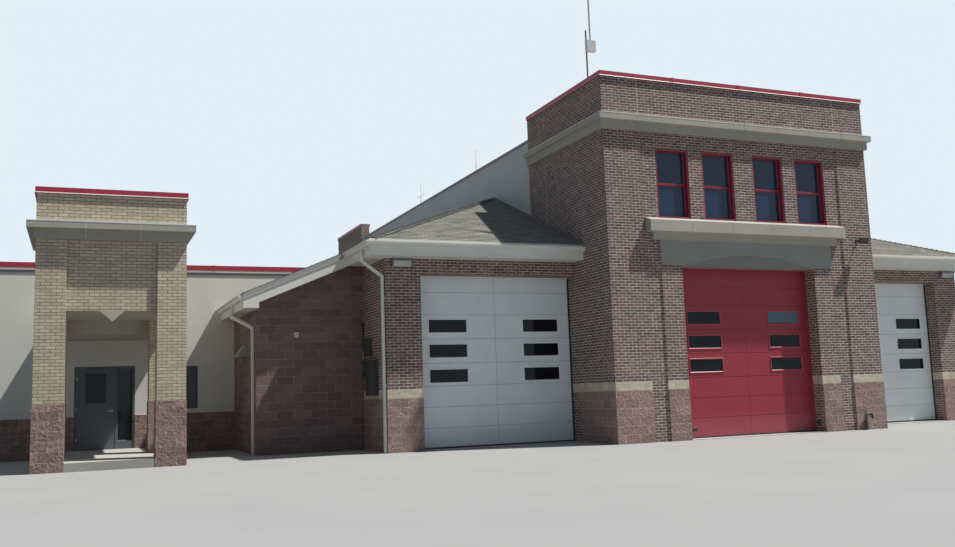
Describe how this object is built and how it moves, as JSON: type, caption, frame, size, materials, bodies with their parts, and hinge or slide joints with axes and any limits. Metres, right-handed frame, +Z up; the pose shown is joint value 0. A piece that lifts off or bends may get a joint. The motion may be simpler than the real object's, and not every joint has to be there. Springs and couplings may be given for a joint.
{
  "type": "fire station building",
  "caption": "Brick fire station with a tall engine bay between towers, hipped low bays with sectional doors and an office wing entered through a small brick tower.",
  "frame": {"origin": "on the ground, at the middle of the front tower's face", "axes": "+X to the right along the front, +Y back into the building, +Z up"},
  "size_m": [32.686, 25.8024, 11.65],
  "materials": {
    "brick": "matte",
    "tan_brick": "matte",
    "split_block": "rough",
    "stucco": "matte",
    "precast": "matte",
    "lintel_panel": "matte",
    "crimson_metal": "satin",
    "grey_metal": "satin",
    "white_door": "satin",
    "red_door": "satin",
    "white_trim": "satin",
    "shingle": "rough",
    "membrane": "matte",
    "concrete": "matte",
    "entrance_paint": "satin",
    "dark_frame": "satin",
    "lamp_metal": "satin",
    "mast_metal": "satin",
    "fitting_metal": "satin",
    "antenna_white": "satin",
    "dark_glass": "gloss"
  },
  "bodies": {
    "station": {"tower_piers": "brick", "tower_upper_walls": "brick", "tower_side_walls": "brick", "tower_base_blocks": "split_block", "tower_cornices": "precast", "roof_copings": "crimson_metal", "hall_walls": "stucco", "hall_roof": "membrane", "tower_window_frames": "crimson_metal", "door_lintels": "lintel_panel", "door_canopies": "precast", "center_doors": "red_door", "side_bay_doors": "white_door", "bay_door_glass": "dark_glass", "side_bay_piers": "brick", "side_bay_headers": "brick", "side_bay_outer_walls": "brick", "side_bay_base_blocks": "split_block", "right_roof": "shingle", "left_roof": "shingle", "eaves": "white_trim", "gutters": "white_trim", "lean_to_walls": "split_block", "rake_boards": "white_trim", "office_front_walls": "stucco", "office_wall_over_door": "stucco", "office_back_wall": "stucco", "office_end_wall": "stucco", "office_roof": "membrane", "office_copings": "crimson_metal", "office_parapet_trim": "grey_metal", "office_wainscot": "split_block", "office_window_frames": "dark_frame", "window_glass": "dark_glass", "entrance_bases": "split_block", "entrance_piers": "tan_brick", "entrance_upper_walls": "tan_brick", "entrance_cornice": "precast", "entrance_coping": "crimson_metal", "entrance_ceiling": "stucco", "porch_slab": "concrete", "office_floor": "concrete", "bay_floor": "concrete", "door_frame": "entrance_paint", "downspouts": "white_trim", "wall_lamps": "lamp_metal", "roof_mast": "mast_metal", "antennas": "antenna_white", "service_fittings": "fitting_metal"},
    "entrance_leaf": {"entrance_door": "entrance_paint", "entrance_door_glass": "dark_glass"}
  },
  "joints": [
    {"name": "entrance_hinge", "type": "hinge", "parent": "station", "child": "entrance_leaf", "pos_m": [-15.565, 7.038, 0], "axis": [0, 0, -1], "range_deg": [0, 95]}
  ]
}
